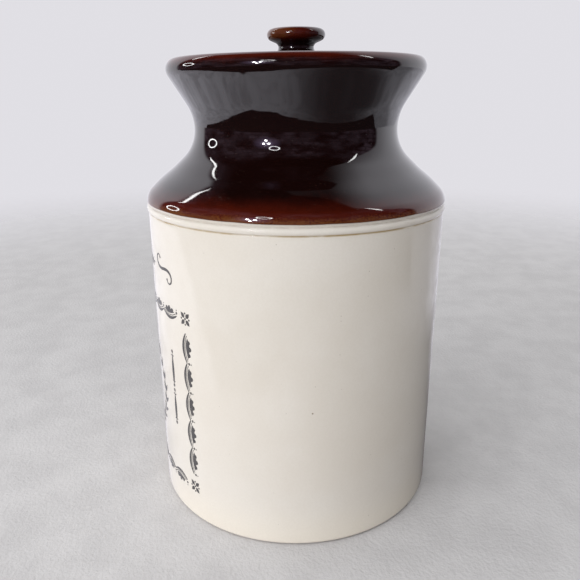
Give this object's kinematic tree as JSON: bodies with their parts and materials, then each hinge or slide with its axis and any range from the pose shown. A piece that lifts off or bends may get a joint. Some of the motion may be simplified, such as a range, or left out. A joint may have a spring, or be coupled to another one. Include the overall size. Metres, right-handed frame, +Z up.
{
  "type": "food canister",
  "caption": "Glazed stoneware storage crock with a straight body, waisted neck, flared rolled lip and an inset lift-off lid with a button knob.",
  "frame": {"origin": "centre of the plane that the foot ring rests on, on the crock's axis", "axes": "+Z up along the crock's axis, out of its mouth; the printed panel faces -Y; +X is to the right of the panel"},
  "size_m": [0.1696, 0.1696, 0.2668],
  "materials": {
    "bare_stoneware": "bare fired clay, matt",
    "cream_glaze": "gloss",
    "brown_glaze": "high gloss",
    "liner_glaze": "gloss",
    "print_ink": "fired ink, satin",
    "lid_stoneware": "bare fired clay, matt",
    "knob_stoneware": "bare fired clay, matt",
    "lid_glaze": "high gloss"
  },
  "bodies": {
    "crock": {"crock_body": "bare_stoneware", "cream_glaze": "cream_glaze", "neck_glaze": "brown_glaze", "liner_glaze": "liner_glaze", "panel_print": "print_ink"},
    "lid": {"lid_disc": "lid_stoneware", "lid_knob": "knob_stoneware", "lid_glaze": "lid_glaze"}
  },
  "joints": [
    {"name": "lid_lift", "type": "slide", "parent": "crock", "child": "lid", "axis": [0, 0, 1], "range_m": [0, 0.03]}
  ]
}
